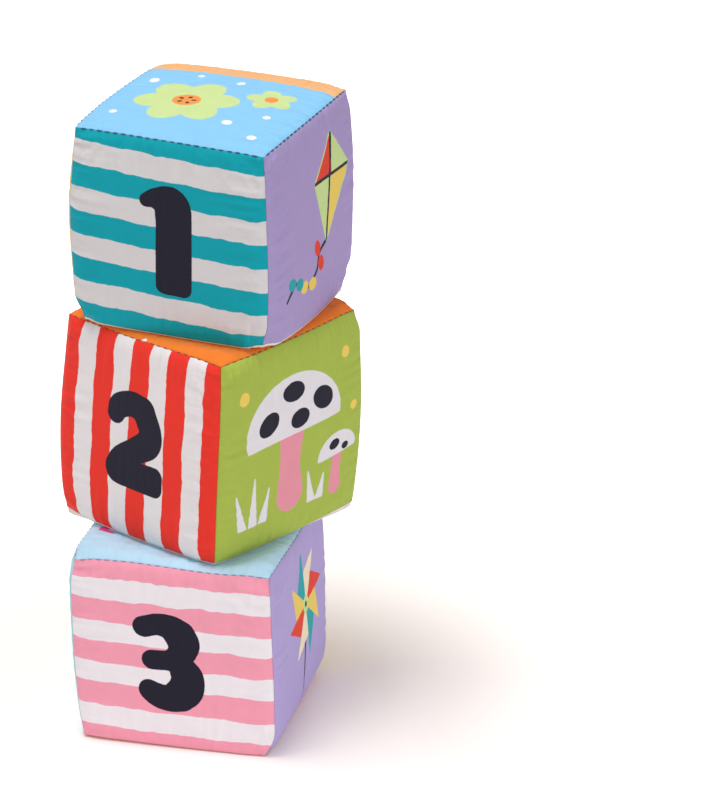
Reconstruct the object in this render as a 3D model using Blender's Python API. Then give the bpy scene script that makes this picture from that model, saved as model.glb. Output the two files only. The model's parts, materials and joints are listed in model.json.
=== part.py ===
"""Soft baby blocks in a stack: printed cotton panels, sewn into cubes over foam.

Metres, +Z up. The origin is the middle of the bottom block's flat underside. The
numbered front of the bottom block faces -Y, and its right side faces +X.
"""

from dataclasses import dataclass
from math import radians, sqrt, tan

import bmesh
import bpy
from mathutils import Matrix, Vector

MM = 0.001

# A block, from seam to seam
BLOCK_EDGE = 90 * MM

# Cotton cover: its cloth, and the allowances that are turned in behind each seam
CLOTH_THICKNESS = 0.8 * MM
SEAM_ALLOWANCE = 5 * MM
SEAM_CLEARANCE = 0.15 * MM

# How the foam swells a panel between its seams, and bows the seams out
EDGE_ROLL = 8 * MM
ROLL_RISE = 2.4 * MM
ROLL_POWER = 2.5
CROWN_RISE = 1.2 * MM
SEAM_BOW = 1.3 * MM

# How a panel lies where a block stands on it, or where it stands on something
PRESSED_RISE = 1.25 * MM
PRESSED_DEPTH = 0.5 * MM
FOOT_RISE = 3.2 * MM
FOOT_ROLL = 3.5 * MM
REST_GAP = 0.3 * MM

# How the meeting seams draw each corner in towards the middle of the block
TOP_CORNER_PULL = 0.8 * MM
CORNER_REACH = 10 * MM

# Foam cube: its clearance to the cloth, and how far its corners are cut back
FOAM_CLEARANCE = 0.3 * MM
FOAM_CORNER_SHARE = 1.4

# Grid lines of a panel, from its seam inwards
ROLL_LINE_SHARES = (0.36, 1.25)
CROWN_LINE_SHARE = 0.27

CLOTH_ROUGHNESS = 0.85
FOAM_ROUGHNESS = 0.95
FOAM_COLOUR = "efe9d8"

ALL_SIDES = ("front", "back", "left", "right", "top", "bottom")
X, Y, Z = Vector((1, 0, 0)), Vector((0, 1, 0)), Vector((0, 0, 1))


@dataclass(frozen=True)
class Side:
    """A side of a block: the way it faces, and the two ways along it."""

    outward: Vector
    across: Vector
    up: Vector


@dataclass(frozen=True)
class Block:
    """A block: its height, and how it stands on the one below it.

    height_share and offset_shares are shares of BLOCK_EDGE. turn is about +Z. lean is
    the slant of its sides towards +X, which soft foam takes up under a load. foot_rise
    is the height of its bottom seams over what it stands on, and foot_pull is how far
    its bottom corners are drawn in.
    """

    name: str
    height_share: float
    offset_shares: tuple
    turn: float
    lean: float
    foot_rise: float
    foot_pull: float
    pressed_sides: tuple
    colours: dict

    @property
    def half(self):
        """Half of the seam box along X, Y and Z."""
        return Vector((1, 1, self.height_share)) * BLOCK_EDGE / 2

    @property
    def standing_height(self):
        """Height from the flat underside to the flat top that the next block stands on."""
        return self.foot_rise + self.height_share * BLOCK_EDGE + PRESSED_RISE


SIDES = {
    "front": Side(-Y, X, Z),
    "back": Side(Y, -X, Z),
    "left": Side(-X, -Y, Z),
    "right": Side(X, Y, Z),
    "top": Side(Z, X, Y),
    "bottom": Side(-Z, X, -Y),
}

# From the bottom of the stack to its top
BLOCKS = (
    Block(
        name="block_3",
        height_share=0.916,
        offset_shares=(0, 0),
        turn=0,
        lean=radians(-1.3),
        foot_rise=FOOT_RISE,
        foot_pull=2.8 * MM,
        pressed_sides=("top", "bottom"),
        colours={
            "front": "ee8fa3",
            "back": "f4cf5c",
            "left": "a8dde6",
            "right": "a996c4",
            "top": "b5dcee",
            "bottom": "e8623a",
        },
    ),
    Block(
        name="block_2",
        height_share=1.036,
        offset_shares=(-0.019, 0.212),
        turn=radians(-27.5),
        lean=radians(2.15),
        foot_rise=PRESSED_RISE,
        foot_pull=1.2 * MM,
        pressed_sides=("top", "bottom"),
        colours={
            "front": "e43b2f",
            "back": "8fd0ea",
            "left": "f5b54a",
            "right": "a9bb52",
            "top": "f78b3b",
            "bottom": "ece6e0",
        },
    ),
    Block(
        name="block_1",
        height_share=0.98,
        offset_shares=(-0.003, 0.301),
        turn=radians(-9.35),
        lean=radians(-0.25),
        foot_rise=PRESSED_RISE,
        foot_pull=1.8 * MM,
        pressed_sides=("bottom",),
        colours={
            "front": "1d9aa4",
            "back": "b9cf62",
            "left": "f6dca0",
            "right": "9f8bb8",
            "top": "8acbf6",
            "bottom": "ece6e0",
        },
    ),
)


def linear_colour(hex_colour):
    """Turn a written sRGB colour into the linear one that a shader takes."""
    channels = [int(hex_colour[place : place + 2], 16) / 255 for place in (0, 2, 4)]
    linear = [c / 12.92 if c <= 0.04045 else ((c + 0.055) / 1.055) ** 2.4 for c in channels]
    return (*linear, 1)


def plain_material(name, hex_colour, roughness):
    """A dull, non-metallic material of one colour."""
    material = bpy.data.materials.new(name)
    material.use_nodes = True
    shader = material.node_tree.nodes["Principled BSDF"]
    shader.inputs["Base Color"].default_value = linear_colour(hex_colour)
    shader.inputs["Roughness"].default_value = roughness
    shader.inputs["Metallic"].default_value = 0
    return material


def half_size(block, way):
    """Half of the block's seam box along one of its own ways."""
    return sum(abs(part) * half for part, half in zip(way, block.half))


def roll(inset, reach):
    """Share of its rise that a panel has reached at a distance in from its seam."""
    return 1 - max(0, 1 - inset / reach) ** ROLL_POWER


def rise(block, side_name, across, up):
    """How far a panel's outside stands out from the plane of its seams."""
    side = SIDES[side_name]
    half_across = half_size(block, side.across)
    half_up = half_size(block, side.up)
    reach = FOOT_ROLL if side_name == "bottom" else EDGE_ROLL
    rolled = roll(half_across - abs(across), reach) * roll(half_up - abs(up), reach)
    crown = (1 - (across / half_across) ** 2) * (1 - (up / half_up) ** 2)
    if side_name in block.pressed_sides:
        full = block.foot_rise if side_name == "bottom" else PRESSED_RISE
        return min(full * rolled + PRESSED_DEPTH * crown, full)
    return ROLL_RISE * rolled + CROWN_RISE * crown


def corner_weight(block, point):
    """1 at a corner of the seam box, falling smoothly to 0 at CORNER_REACH from it."""
    weight = 1
    for place, half in zip(point, block.half):
        near = min(1, max(0, 1 - (half - abs(place)) / CORNER_REACH))
        weight *= near * near * (3 - 2 * near)
    return weight


def bowed(block, point):
    """How far the foam pushes a point out, most where it is farthest from the corners.

    A pressed side stays flat, so only a free top is pushed up.
    """
    share = [place / half for place, half in zip(point, block.half)]
    square = [min(1, part * part) for part in share]
    upward = 0 if "top" in block.pressed_sides else max(0, share[2]) ** 2
    return SEAM_BOW * Vector(
        (
            share[0] * (1 - square[1] * square[2]),
            share[1] * (1 - square[0] * square[2]),
            upward * (1 - square[0] * square[1]),
        )
    )


def shaped(block, point):
    """Move a point of the plain seam box to where it lies on the soft, standing block."""
    pull = TOP_CORNER_PULL if point.z > 0 else block.foot_pull
    pull *= corner_weight(block, point)
    drawn = Vector([place - pull if place > 0 else place + pull for place in point])
    drawn += bowed(block, point) + Z * (block.half.z + block.foot_rise)
    slant = Matrix.Rotation(-block.turn, 3, "Z") @ X * tan(block.lean)
    return drawn + slant * drawn.z


def grid_lines(half, first_inset):
    """Places of a panel's grid lines along one way, between two seams."""
    insets = [first_inset]
    insets += [share * EDGE_ROLL for share in ROLL_LINE_SHARES]
    insets.append(CROWN_LINE_SHARE * BLOCK_EDGE)
    low = [inset - half for inset in insets]
    return low + [-place for place in reversed(low)]


def add_skin(bm, block, side_name, seam_distance, sink):
    """Add one surface of a panel's cloth, with its seam allowances turned in.

    seam_distance is the surface's distance from the plane between the two allowances
    of a seam, and sink is its depth under the panel's outside. Returns the edges along
    the allowances' cut ends.
    """
    side = SIDES[side_name]
    half_across = half_size(block, side.across)
    half_up = half_size(block, side.up)
    fold_inset = seam_distance * sqrt(2)
    end_inset = (SEAM_ALLOWANCE + seam_distance) / sqrt(2)
    end_depth = (SEAM_ALLOWANCE - seam_distance) / sqrt(2)
    columns = grid_lines(half_across, fold_inset)
    rows = grid_lines(half_up, fold_inset)
    last = len(columns) - 1

    grid = bmesh.ops.create_grid(bm, x_segments=last, y_segments=last, size=0.5)["verts"]
    for vert in grid:
        column = round((vert.co.x + 0.5) * last)
        row = round((vert.co.y + 0.5) * last)
        on_fold = column in (0, last) or row in (0, last)
        across, up = columns[column], rows[row]
        height = 0 if on_fold else rise(block, side_name, across, up) - sink
        vert.co = (across, up, height)

    fold = {edge for vert in grid for edge in vert.link_edges if edge.is_boundary}
    turned = bmesh.ops.extrude_edge_only(bm, edges=list(fold))["geom"]
    turned_verts = [part for part in turned if isinstance(part, bmesh.types.BMVert)]
    for vert in turned_verts:
        vert.co.x *= (half_across - end_inset) / (half_across - fold_inset)
        vert.co.y *= (half_up - end_inset) / (half_up - fold_inset)
        vert.co.z = -end_depth

    half_outward = half_size(block, side.outward)
    for vert in [*grid, *turned_verts]:
        across, up, height = vert.co
        plain = side.across * across + side.up * up + side.outward * (half_outward + height)
        vert.co = shaped(block, plain)
    return [part for part in turned if isinstance(part, bmesh.types.BMEdge) and part.is_boundary]


def panel_mesh(block, side_name):
    """One sewn panel: its outside, its inside, and the cut edge that joins them."""
    bm = bmesh.new()
    outside = add_skin(bm, block, side_name, SEAM_CLEARANCE, 0)
    inner_distance = SEAM_CLEARANCE + CLOTH_THICKNESS
    inside = add_skin(bm, block, side_name, inner_distance, CLOTH_THICKNESS)
    bmesh.ops.bridge_loops(bm, edges=outside + inside)
    return finished_mesh(bm, f"{block.name}_{side_name}_panel")


def foam_place(step, half, edge_inset):
    """Place along one axis of a foam vertex that is not on the foam's surface that way."""
    insets = {1: edge_inset, 0.6: ROLL_LINE_SHARES[-1] * EDGE_ROLL, 0.2: CROWN_LINE_SHARE * BLOCK_EDGE}
    inset = insets[round(abs(step), 1)]
    return half - inset if step > 0 else inset - half


def foam_mesh(block):
    """Foam cube under the cover, its edges pressed back by the seam allowances."""
    bm = bmesh.new()
    bmesh.ops.create_cube(bm, size=2)
    bmesh.ops.subdivide_edges(bm, edges=bm.edges[:], cuts=4, use_grid_fill=True)
    edge_inset = (SEAM_ALLOWANCE + FOAM_CLEARANCE) / sqrt(2)
    for vert in bm.verts:
        on_face = [round(abs(step), 3) == 1 for step in vert.co]
        inset = edge_inset * FOAM_CORNER_SHARE if all(on_face) else edge_inset
        plain = Vector([foam_place(step, half, inset) for step, half in zip(vert.co, block.half)])
        if sum(on_face) == 1:
            side_name = facing_side(vert.co)
            side = SIDES[side_name]
            height = rise(block, side_name, plain.dot(side.across), plain.dot(side.up))
            depth = CLOTH_THICKNESS + FOAM_CLEARANCE
            outward = half_size(block, side.outward) + height - depth
            plain += side.outward * (outward - plain.dot(side.outward))
        vert.co = shaped(block, plain)
    return finished_mesh(bm, f"{block.name}_foam_core")


def facing_side(step):
    """Name of the side that a vertex of the unit cube lies on."""
    return max(ALL_SIDES, key=lambda name: SIDES[name].outward.dot(step))


def finished_mesh(bm, name):
    """Turn the faces outwards, shade them smooth and make the mesh."""
    bmesh.ops.recalc_face_normals(bm, faces=bm.faces[:])
    mesh = bpy.data.meshes.new(name)
    bm.to_mesh(mesh)
    bm.free()
    mesh.shade_smooth()
    mesh.set_sharp_from_angle(angle=radians(50))
    return mesh


def add_piece(mesh, holder, material):
    """Put a mesh in the scene under the block's empty."""
    mesh.materials.append(material)
    piece = bpy.data.objects.new(mesh.name, mesh)
    bpy.context.collection.objects.link(piece)
    piece.parent = holder
    return piece


def add_block(block, base_height):
    """A block's empty on the line that it lifts along, with its panels and foam."""
    holder = bpy.data.objects.new(f"{block.name}_place", None)
    bpy.context.collection.objects.link(holder)
    across, back = (share * BLOCK_EDGE for share in block.offset_shares)
    holder.location = (across, back, base_height)
    holder.rotation_euler.z = block.turn
    for side_name in ALL_SIDES:
        mesh = panel_mesh(block, side_name)
        cloth = plain_material(f"{mesh.name}_cotton", block.colours[side_name], CLOTH_ROUGHNESS)
        add_piece(mesh, holder, cloth)
    mesh = foam_mesh(block)
    add_piece(mesh, holder, plain_material(f"{mesh.name}_foam", FOAM_COLOUR, FOAM_ROUGHNESS))


def build():
    """Clear the scene and stack the blocks from the bottom up."""
    for old in list(bpy.data.objects):
        bpy.data.objects.remove(old, do_unlink=True)
    base_height = 0
    for block in BLOCKS:
        add_block(block, base_height)
        base_height += block.standing_height + REST_GAP


build()
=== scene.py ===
"""Looks of a stack of three baby blocks: printed cotton panels sewn into cubes over foam.

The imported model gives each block's place, turn, slant and height. Each panel is made
again here as fine cloth with turned-in seam allowances, a printed finish and puckers
along its seams, and each foam cube as a soft solid inside.
"""

import json
import logging
import math
from collections.abc import Callable, Sequence
from dataclasses import dataclass, field
from enum import Enum

import bmesh
import bpy
import numpy as np
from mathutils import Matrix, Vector


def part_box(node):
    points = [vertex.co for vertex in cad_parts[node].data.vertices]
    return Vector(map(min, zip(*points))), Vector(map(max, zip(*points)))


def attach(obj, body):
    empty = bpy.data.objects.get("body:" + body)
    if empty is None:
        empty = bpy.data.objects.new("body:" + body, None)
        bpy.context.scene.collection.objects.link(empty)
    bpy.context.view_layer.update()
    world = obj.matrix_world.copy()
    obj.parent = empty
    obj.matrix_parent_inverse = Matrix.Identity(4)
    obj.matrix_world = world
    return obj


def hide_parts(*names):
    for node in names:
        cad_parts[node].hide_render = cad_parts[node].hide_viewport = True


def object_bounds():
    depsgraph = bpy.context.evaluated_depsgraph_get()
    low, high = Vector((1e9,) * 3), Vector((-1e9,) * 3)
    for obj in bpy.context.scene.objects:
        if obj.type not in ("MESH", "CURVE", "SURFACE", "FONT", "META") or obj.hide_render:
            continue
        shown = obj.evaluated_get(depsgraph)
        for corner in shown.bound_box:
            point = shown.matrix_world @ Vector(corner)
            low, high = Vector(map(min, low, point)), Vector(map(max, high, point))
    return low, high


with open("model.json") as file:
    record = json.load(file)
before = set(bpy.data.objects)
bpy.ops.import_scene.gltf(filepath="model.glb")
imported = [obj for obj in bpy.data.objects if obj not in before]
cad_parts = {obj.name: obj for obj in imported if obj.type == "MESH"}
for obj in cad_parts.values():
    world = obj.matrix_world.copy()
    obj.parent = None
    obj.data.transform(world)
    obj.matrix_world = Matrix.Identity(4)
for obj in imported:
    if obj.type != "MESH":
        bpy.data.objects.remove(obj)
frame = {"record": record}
CAD_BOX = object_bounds()

LOG = logging.getLogger("soft_blocks")
MM = 0.001

Points = np.ndarray
Shape = Callable[[Points], np.ndarray]
FourSizes = tuple[float, float, float, float]
Place = tuple[float, float]
Way = tuple[float, float, float]
Source = bpy.types.Node | bpy.types.NodeSocket | float | tuple[float, ...]


class SideName(Enum):
    """The six sides of a block, named as its panels are."""

    FRONT = "front"
    BACK = "back"
    LEFT = "left"
    RIGHT = "right"
    TOP = "top"
    BOTTOM = "bottom"


@dataclass(frozen=True)
class Side:
    """The way a side faces, and the two ways along it, in the block's own axes."""

    outward: Way
    across: Way
    up: Way


SIDES: dict[SideName, Side] = {
    SideName.FRONT: Side((0, -1, 0), (1, 0, 0), (0, 0, 1)),
    SideName.BACK: Side((0, 1, 0), (-1, 0, 0), (0, 0, 1)),
    SideName.LEFT: Side((-1, 0, 0), (0, -1, 0), (0, 0, 1)),
    SideName.RIGHT: Side((1, 0, 0), (0, 1, 0), (0, 0, 1)),
    SideName.TOP: Side((0, 0, 1), (1, 0, 0), (0, 1, 0)),
    SideName.BOTTOM: Side((0, 0, -1), (1, 0, 0), (0, -1, 0)),
}


@dataclass(frozen=True)
class Patch:
    """Places on one side of a block, in metres across it and up it from its middle."""

    side_name: SideName
    across: np.ndarray
    up: np.ndarray


def mm(*lengths: float) -> tuple[float, ...]:
    """Turn lengths in millimetres into metres."""
    return tuple(length * MM for length in lengths)


def new_object(name: str, data: bpy.types.ID) -> bpy.types.Object:
    """Put a new object in the scene."""
    thing = bpy.data.objects.new(name, data)
    bpy.context.scene.collection.objects.link(thing)
    return thing


def grid_quads(numbers: np.ndarray) -> np.ndarray:
    """The corners of each four-sided face of a grid, from its vertices' numbers."""
    corners = [numbers[:-1, :-1], numbers[1:, :-1], numbers[1:, 1:], numbers[:-1, 1:]]
    return np.stack(corners, axis=-1).reshape(-1, 4)


def linear(hex_colour: str) -> tuple[float, float, float, float]:
    """Turn a written sRGB colour into the linear one that a shader takes.

    Args:
        hex_colour: six hexadecimal digits.

    Returns:
        Red, green, blue and an alpha of one.
    """
    channels = [int(hex_colour[place : place + 2], 16) / 255 for place in (0, 2, 4)]
    red, green, blue = (
        c / 12.92 if c <= 0.04045 else ((c + 0.055) / 1.055) ** 2.4 for c in channels
    )
    return red, green, blue, 1.0


def feed(node: bpy.types.Node, inputs: dict) -> bpy.types.Node:
    """Fill a node's inputs.

    Args:
        node: the node.
        inputs: by name or number, what each input holds: a value, or the output socket or
            the node that feeds it. A node feeds it from its first output.

    Returns:
        The same node.
    """
    for socket, given in inputs.items():
        source = given.outputs[0] if isinstance(given, bpy.types.Node) else given
        if isinstance(source, bpy.types.NodeSocket):
            node.id_data.links.new(source, node.inputs[socket])
        else:
            node.inputs[socket].default_value = source
    return node


def add_node(
    tree: bpy.types.NodeTree, kind: str, inputs: dict | None = None, **settings: object
) -> bpy.types.Node:
    """Add one node.

    Args:
        tree: the tree that the node goes in.
        kind: the node's type.
        inputs: what its inputs hold, as feed takes it.
        settings: the node's own properties.

    Returns:
        The new node.
    """
    node = tree.nodes.new(kind)
    for name, value in settings.items():
        setattr(node, name, value)
    return feed(node, inputs or {})


def worked(
    tree: bpy.types.NodeTree, operation: str, first: Source, second: Source = 0.0
) -> bpy.types.Node:
    """Work out one value from two."""
    return add_node(tree, "ShaderNodeMath", {0: first, 1: second}, operation=operation)


def ranged(
    tree: bpy.types.NodeTree,
    value: Source,
    low: float,
    high: float,
    start: float = 0.0,
    end: float = 1.0,
    smooth: bool = False,
) -> bpy.types.Node:
    """Carry a value that runs from start to end over to one from low to high."""
    limits = {"From Min": start, "From Max": end, "To Min": low, "To Max": high}
    kind = "SMOOTHSTEP" if smooth else "LINEAR"
    return add_node(tree, "ShaderNodeMapRange", {"Value": value, **limits}, interpolation_type=kind)


def noise(
    tree: bpy.types.NodeTree, places: Source, scale: float, detail: float, roughness: float = 0.5
) -> bpy.types.Node:
    """Soft noise from 0 to 1."""
    inputs = {"Vector": places, "Scale": scale, "Detail": detail, "Roughness": roughness}
    return add_node(tree, "ShaderNodeTexNoise", inputs)


def bump(
    tree: bpy.types.NodeTree,
    height: Source,
    strength: float,
    distance: float,
    normal: bpy.types.Node | None = None,
) -> bpy.types.Node:
    """Raise a surface by a height, over the relief that it has so far."""
    inputs = {"Height": height, "Strength": strength, "Distance": distance}
    if normal is not None:
        inputs["Normal"] = normal
    return add_node(tree, "ShaderNodeBump", inputs)


def mixed(
    tree: bpy.types.NodeTree, share: Source, first: Source, second: Source
) -> bpy.types.NodeSocket:
    """The colour at a share of the way from one colour to another."""
    inputs = {"Factor": share, "A": first, "B": second}
    return add_node(tree, "ShaderNodeMix", inputs, data_type="RGBA").outputs["Result"]


def new_finish(name: str, roughness: float) -> tuple[bpy.types.Material, bpy.types.Node]:
    """Start a material, and give it back with its shader."""
    material = bpy.data.materials.new(name)
    material.use_nodes = True
    shader = material.node_tree.nodes["Principled BSDF"]
    return material, feed(shader, {"Roughness": roughness})


def object_places(tree: bpy.types.NodeTree) -> bpy.types.NodeSocket:
    """Places on an object, in metres from its origin."""
    return add_node(tree, "ShaderNodeTexCoord").outputs["Object"]


def ripple(points: Points, wavelength: float, seed: int, waves: int = 7) -> np.ndarray:
    """Smooth, even noise: a few sine waves that run in unlike ways.

    Args:
        points: places, one row each, in any number of dimensions.
        wavelength: the middle wavelength, in the unit of the places.
        seed: picks the waves, the same ones each time.
        waves: how many waves are added up.

    Returns:
        One value for each place, mostly between -1 and 1.
    """
    draw = np.random.default_rng(seed)
    ways = draw.normal(size=(waves, points.shape[1]))
    ways /= np.linalg.norm(ways, axis=1, keepdims=True)
    lengths = wavelength * draw.uniform(0.7, 1.45, waves)
    phases = draw.uniform(0, 2 * math.pi, waves)
    turns = points @ (ways * (2 * math.pi / lengths)[:, None]).T + phases
    return np.sin(turns).sum(axis=1) / math.sqrt(waves)


def smooth_step(value: np.ndarray) -> np.ndarray:
    """Ease a share from 0 to 1, level at both ends."""
    share = np.clip(value, 0, 1)
    return share * share * (3 - 2 * share)


# Print shapes: each gives the distance in millimetres from its edge, below zero inside it


def beside(place: Place, angle: float, reach: float) -> Place:
    """The place at a distance from another, in a direction in degrees."""
    turn = math.radians(angle)
    return place[0] + reach * math.cos(turn), place[1] + reach * math.sin(turn)


def disc(centre: Place, radius: float) -> Shape:
    """A round spot."""
    return lambda places: np.hypot(places[:, 0] - centre[0], places[:, 1] - centre[1]) - radius


def ellipse(centre: Place, radii: Place, turn: float = 0) -> Shape:
    """An oval of two radii, turned by an angle in degrees."""

    def distance(places: Points) -> np.ndarray:
        """Distance from the oval's edge, near enough for a print."""
        angle = math.radians(turn)
        along = np.array([math.cos(angle), math.sin(angle)])
        aside = np.array([-along[1], along[0]])
        moved = places - centre
        local = np.stack([moved @ along, moved @ aside], axis=1)
        scaled = np.linalg.norm(local / radii, axis=1)
        slope = np.linalg.norm(local / np.square(radii), axis=1) + 1e-9
        return scaled * (scaled - 1) / slope

    return distance


def rounded_box(centre: Place, half: Place, radius: float) -> Shape:
    """An upright rectangle with rounded corners."""

    def distance(places: Points) -> np.ndarray:
        """Distance from the rectangle's edge."""
        beyond = np.abs(places - centre) - np.array(half) + radius
        outside = np.linalg.norm(np.maximum(beyond, 0), axis=1)
        return outside + np.minimum(beyond.max(axis=1), 0) - radius

    return distance


def polygon(corners: Sequence[Place], rounding: float = 0) -> Shape:
    """A shape with straight sides, grown by a rounding radius."""

    def distance(places: Points) -> np.ndarray:
        """Distance from the nearest side, below zero inside."""
        nearest = np.full(len(places), np.inf)
        inside = np.zeros(len(places), bool)
        ends = np.array(corners, float)
        for start, end in zip(ends, np.roll(ends, -1, axis=0)):
            side = end - start
            moved = places - start
            share = np.clip(moved @ side / (side @ side), 0, 1)
            nearest = np.minimum(nearest, np.linalg.norm(moved - share[:, None] * side, axis=1))
            crosses = (start[1] > places[:, 1]) != (end[1] > places[:, 1])
            rise = end[1] - start[1] or 1e-9
            inside ^= crosses & (places[:, 0] < start[0] + side[0] * moved[:, 1] / rise)
        return np.where(inside, -nearest, nearest) - rounding

    return distance


def brush(marks: Sequence[tuple[float, float, float]], steps: int = 12) -> Shape:
    """A brush stroke that swells and thins.

    Args:
        marks: places that the stroke passes through, each with its half width.
        steps: dabs between one mark and the next.

    Returns:
        The stroke's shape.
    """
    ends = np.array(marks, float)
    padded = np.vstack([2 * ends[0] - ends[1], ends, 2 * ends[-1] - ends[-2]])
    dabs = []
    for before, start, end, after in zip(padded, padded[1:], padded[2:], padded[3:]):
        for share in np.arange(steps) / steps:
            curve = 2 * start + (end - before) * share
            curve = curve + (2 * before - 5 * start + 4 * end - after) * share**2
            dabs.append((curve + (3 * start - before - 3 * end + after) * share**3) / 2)
    dabs.append(ends[-1])

    def distance(places: Points) -> np.ndarray:
        """Distance from the edge of the nearest dab."""
        nearest = np.full(len(places), np.inf)
        for x, y, width in dabs:
            nearest = np.minimum(nearest, np.hypot(places[:, 0] - x, places[:, 1] - y) - width)
        return nearest

    return distance


def union(*shapes: Shape) -> Shape:
    """All of several shapes."""
    return lambda places: np.min([shape(places) for shape in shapes], axis=0)


def overlap(*shapes: Shape) -> Shape:
    """Only what several shapes share."""
    return lambda places: np.max([shape(places) for shape in shapes], axis=0)


def without(shape: Shape, *holes: Shape) -> Shape:
    """A shape with others cut out of it."""
    return lambda places: np.max([shape(places), *(-hole(places) for hole in holes)], axis=0)


def discs(marks: Sequence[tuple[float, float, float]]) -> Shape:
    """Round spots, each with its own radius."""
    return union(*(disc((x, y), radius) for x, y, radius in marks))


def petals(centre: Place, count: int, reach: float, radii: Place, turn: float = 0) -> Shape:
    """Ovals set evenly round a point, each pointing away from it."""
    angles = [turn + 360 * number / count for number in range(count)]
    return union(*(ellipse(beside(centre, angle, reach), radii, angle) for angle in angles))


def spots(pitch: float, radius: float, reach: float = 39, jitter: float = 0, seed: int = 0) -> Shape:
    """Spots in staggered rows, as far out as a reach, each a little off its place."""
    row_spacing, least, most = 0.87, 0.85, 1.12
    draw = np.random.default_rng(seed)
    places = []
    rows = int(reach / pitch) + 1
    for row in range(-rows, rows + 1):
        for column in range(-rows, rows + 1):
            shift = pitch / 2 if row % 2 else 0
            offset = draw.uniform(-jitter, jitter, 2)
            place = (column * pitch + shift + offset[0], row * pitch * row_spacing + offset[1])
            if max(abs(place[0]), abs(place[1])) < reach:
                places.append(place)
    return union(*(disc(place, radius * draw.uniform(least, most)) for place in places))


@dataclass(frozen=True)
class Bands:
    """Bands with hand-torn edges, from one seam of a panel to the other, in millimetres.

    Attributes:
        half_panel: from the middle of the panel to the seam that the bands count from.
        first: where the first band starts, counted in from the top or left seam.
        band: the width of a band.
        gap: the width left between two bands.
        seed: picks how the edges wander.
        across: whether the bands run across the panel, or else up it.
        tilt: how much a band drops for each millimetre along it.
        fan: how much more it drops for each millimetre from the seam.
        count: how many bands there are.
        waves: the size and the wavelength of each wave in the edges.
    """

    half_panel: float
    first: float
    band: float
    gap: float
    seed: int
    across: bool = True
    tilt: float = 0.0
    fan: float = 0.0
    count: int = 5
    waves: tuple[Place, ...] = ((0.3, 24), (0.13, 9), (0.04, 3.6))

    def wander(self, along: np.ndarray, edge: int) -> np.ndarray:
        """How far a band's edge strays from straight."""
        first = self.seed + len(self.waves) * edge
        return sum(
            size * ripple(along[:, None], length, first + number)
            for number, (size, length) in enumerate(self.waves)
        )

    def __call__(self, places: Points) -> np.ndarray:
        """Distance from the edge of the nearest band."""
        if self.across:
            depth, along = self.half_panel - places[:, 1], places[:, 0]
        else:
            depth, along = self.half_panel + places[:, 0], places[:, 1]
        depth = depth - (self.tilt + self.fan * depth) * along
        nearest = np.full(len(places), np.inf)
        for number in range(self.count):
            start = self.first + number * (self.band + self.gap)
            low = start + self.wander(along, 2 * number)
            high = start + self.band + self.wander(along, 2 * number + 1)
            nearest = np.minimum(nearest, np.maximum(low - depth, depth - high))
        return nearest


@dataclass(frozen=True)
class Layer:
    """One ink of a print: its colour, and where it lies."""

    colour: str
    shape: Shape


@dataclass(frozen=True)
class Print:
    """A printed design: the cloth's ground colour, and the inks over it in order."""

    ground: str
    layers: tuple[Layer, ...] = ()


WHITE_INK = "ebe5ea"
NAVY_INK = "1f1d2c"
LIME_INK = "cfe39a"
RED_INK = "e8432f"
YELLOW_INK = "f6d365"
TEAL_INK = "2aa5ae"
ORANGE_INK = "f59a4c"
PINK_INK = "ee98a8"
CREAM_INK = "f8e8c8"


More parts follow.
